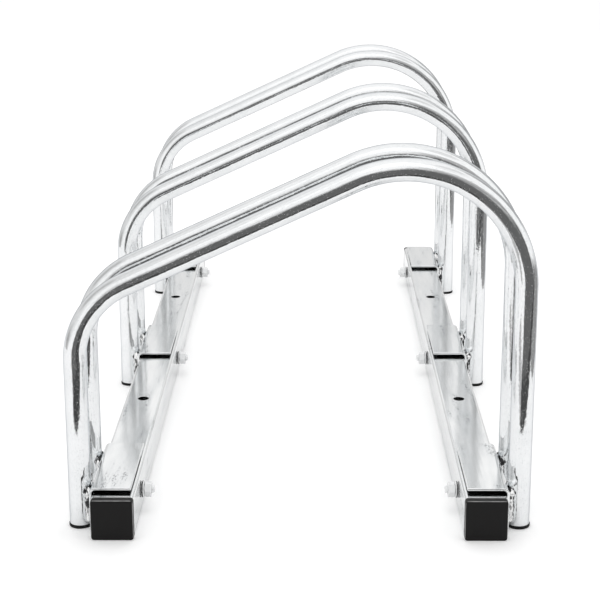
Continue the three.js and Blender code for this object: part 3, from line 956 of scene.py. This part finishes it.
def white_floor():
    """White paper on a table. Reflections look past the table's edges into the studio."""
    floor = start(bpy.ops.mesh.primitive_plane_add, size=FLOOR_SIZE)
    floor.name = "floor"
    material = bpy.data.materials.new("white paper on a table")
    material.use_nodes = True
    tree = material.node_tree
    tree.nodes.clear()
    place = add_node(tree, "ShaderNodeTexCoord").outputs["Object"]
    axes = add_node(tree, "ShaderNodeSeparateXYZ", {"Vector": place}).outputs
    rays = add_node(tree, "ShaderNodeLightPath").outputs
    width = TABLE_RIGHT - TABLE_LEFT
    length = TABLE_BACK - TABLE_FRONT
    within_sides = add_node(
        tree, "ShaderNodeMath", {0: axes["X"], 1: TABLE_LEFT + width / 2, 2: width / 2}, operation="COMPARE")
    within_ends = add_node(
        tree, "ShaderNodeMath", {0: axes["Y"], 1: TABLE_FRONT + length / 2, 2: length / 2},
        operation="COMPARE")
    on_table = add_node(
        tree, "ShaderNodeMath", {0: within_sides.outputs[0], 1: within_ends.outputs[0]}, operation="MULTIPLY")
    off_table = add_node(tree, "ShaderNodeMath", {0: 1.0, 1: on_table.outputs[0]}, operation="SUBTRACT")
    see_past = add_node(
        tree, "ShaderNodeMath", {0: off_table.outputs[0], 1: rays["Is Glossy Ray"]}, operation="MULTIPLY")
    paper = add_node(tree, "ShaderNodeBsdfDiffuse", {"Color": (FLOOR_WHITE, FLOOR_WHITE, FLOOR_WHITE, 1)})
    # The paper's glow is whole to the camera, and fainter in the metal
    seen = add_node(
        tree, "ShaderNodeMath", {0: rays["Is Glossy Ray"], 1: GLOSSY_LIFT, 2: rays["Is Camera Ray"]},
        operation="MULTIPLY_ADD")
    lift = add_node(tree, "ShaderNodeMath", {0: seen.outputs[0], 1: FLOOR_LIFT}, operation="MULTIPLY")
    glow = add_node(tree, "ShaderNodeEmission", {"Strength": lift.outputs[0]})
    lit = add_node(tree, "ShaderNodeAddShader", {0: paper.outputs[0], 1: glow.outputs[0]})
    # The painted shadow past the table's front edge, but for the far left, which only reflections show
    before_table = add_node(
        tree, "ShaderNodeMath", {0: axes["Y"], 1: TABLE_FRONT - TABLE_EDGE_SHADOW / 2, 2: TABLE_EDGE_SHADOW / 2},
        operation="COMPARE")
    right_of_start = add_node(
        tree, "ShaderNodeMath", {0: axes["X"], 1: EDGE_SHADOW_LEFT}, operation="GREATER_THAN")
    on_rim = add_node(
        tree, "ShaderNodeMath", {0: before_table.outputs[0], 1: right_of_start.outputs[0]},
        operation="MULTIPLY")
    rim = add_node(
        tree, "ShaderNodeMath", {0: on_rim.outputs[0], 1: -EDGE_SHADOW_DEPTH, 2: 1.0}, operation="MULTIPLY_ADD")
    clear = add_node(tree, "ShaderNodeBsdfTransparent", {"Color": rim.outputs[0]})
    mixed = add_node(
        tree, "ShaderNodeMixShader", {0: see_past.outputs[0], 1: lit.outputs[0], 2: clear.outputs[0]})
    add_node(tree, "ShaderNodeOutputMaterial", {"Surface": mixed.outputs[0]})
    floor.data.materials.append(material)


def lit_share(tree, heading, height, first, last, softness, rise, fall, depth):
    """What share of the light is left in each direction by one of the studio's darker parts."""
    centre, half = math.radians(first + last) / 2, math.radians(last - first) / 2
    soft = math.radians(softness)
    from_centre = add_node(tree, "ShaderNodeMath", {0: heading, 1: centre}, operation="SUBTRACT")
    wrapped = add_node(
        tree, "ShaderNodeMath", {0: from_centre.outputs[0], 1: math.pi, 2: -math.pi}, operation="WRAP")
    spread = add_node(tree, "ShaderNodeMath", {0: wrapped.outputs[0]}, operation="ABSOLUTE")
    share = None
    for value, low, high, begins, ends in (
        (spread.outputs[0], half - soft, half + soft, 1.0, 0.0),
        (height, *(math.radians(angle) for angle in rise), 0.0, 1.0),
        (height, *(math.radians(angle) for angle in fall), 1.0, 0.0),
    ):
        window = add_node(
            tree, "ShaderNodeMapRange",
            {"Value": value, "From Min": low, "From Max": high, "To Min": begins, "To Max": ends},
            interpolation_type="SMOOTHSTEP").outputs[0]
        if share is None:
            share = window
        else:
            share = add_node(tree, "ShaderNodeMath", {0: share, 1: window}, operation="MULTIPLY").outputs[0]
    return add_node(
        tree, "ShaderNodeMath", {0: share, 1: -depth, 2: 1.0}, operation="MULTIPLY_ADD").outputs[0]


def studio():
    """White to the camera. What the rack reflects has the studio's darker parts too."""
    world = bpy.data.worlds.new("white studio")
    bpy.context.scene.world = world
    world.use_nodes = True
    tree = world.node_tree
    tree.nodes.clear()
    direction = add_node(tree, "ShaderNodeTexCoord").outputs["Generated"]
    axes = add_node(tree, "ShaderNodeSeparateXYZ", {"Vector": direction}).outputs
    away = add_node(tree, "ShaderNodeMath", {0: axes["Y"], 1: -1.0}, operation="MULTIPLY")
    heading = add_node(
        tree, "ShaderNodeMath", {0: axes["X"], 1: away.outputs[0]}, operation="ARCTAN2").outputs[0]
    height = add_node(tree, "ShaderNodeMath", {0: axes["Z"]}, operation="ARCSINE").outputs[0]
    brightness = STUDIO_WHITE
    for _, *shade in SHADES:
        left = lit_share(tree, heading, height, *shade)
        brightness = add_node(
            tree, "ShaderNodeMath", {0: brightness, 1: left}, operation="MULTIPLY").outputs[0]
    seen = add_node(tree, "ShaderNodeLightPath").outputs["Is Camera Ray"]
    strength = add_node(
        tree, "ShaderNodeMix", {"Factor": seen, "A": brightness, "B": 1.0}, data_type="FLOAT")
    light = add_node(
        tree, "ShaderNodeBackground", {"Color": (1, 1, 1, 1), "Strength": strength.outputs["Result"]})
    add_node(tree, "ShaderNodeOutputWorld", {"Surface": light.outputs[0]})


def overhead_softbox():
    """A square lamp that faces the middle of the rack, and that the metal doesn't mirror."""
    light = bpy.data.lights.new("overhead softbox", "AREA")
    light.shape = "SQUARE"
    light.size = LAMP_SIZE
    light.energy = LAMP_BRIGHTNESS * math.pi * LAMP_SIZE * LAMP_SIZE
    lamp = bpy.data.objects.new("overhead softbox", light)
    bpy.context.scene.collection.objects.link(lamp)
    lamp.location = LAMP_PLACE
    lamp.rotation_euler = (LAMP_AIM - LAMP_PLACE).to_track_quat("-Z", "Y").to_euler()
    lamp.visible_glossy = False


def photo_camera():
    """Sets up the camera where it took the photo."""
    data = bpy.data.cameras.new("camera")
    data.lens = CAMERA_LENS
    data.sensor_width = CAMERA_SENSOR
    data.shift_y = CAMERA_SHIFT / PHOTO_SIZE
    camera = bpy.data.objects.new("camera", data)
    bpy.context.scene.collection.objects.link(camera)
    pitch, yaw, roll = (math.radians(angle) for angle in (CAMERA_PITCH, CAMERA_YAW, CAMERA_ROLL))
    aim = (
        Matrix.Rotation(-yaw, 4, "Z") @ Matrix.Rotation(math.pi / 2 - pitch, 4, "X")
        @ Matrix.Rotation(roll, 4, "Z"))
    camera.matrix_world = Matrix.Translation(CAMERA_PLACE) @ aim
    bpy.context.scene.camera = camera


white_floor()
studio()
overhead_softbox()
photo_camera()
bpy.context.scene.view_settings.view_transform = "Standard"
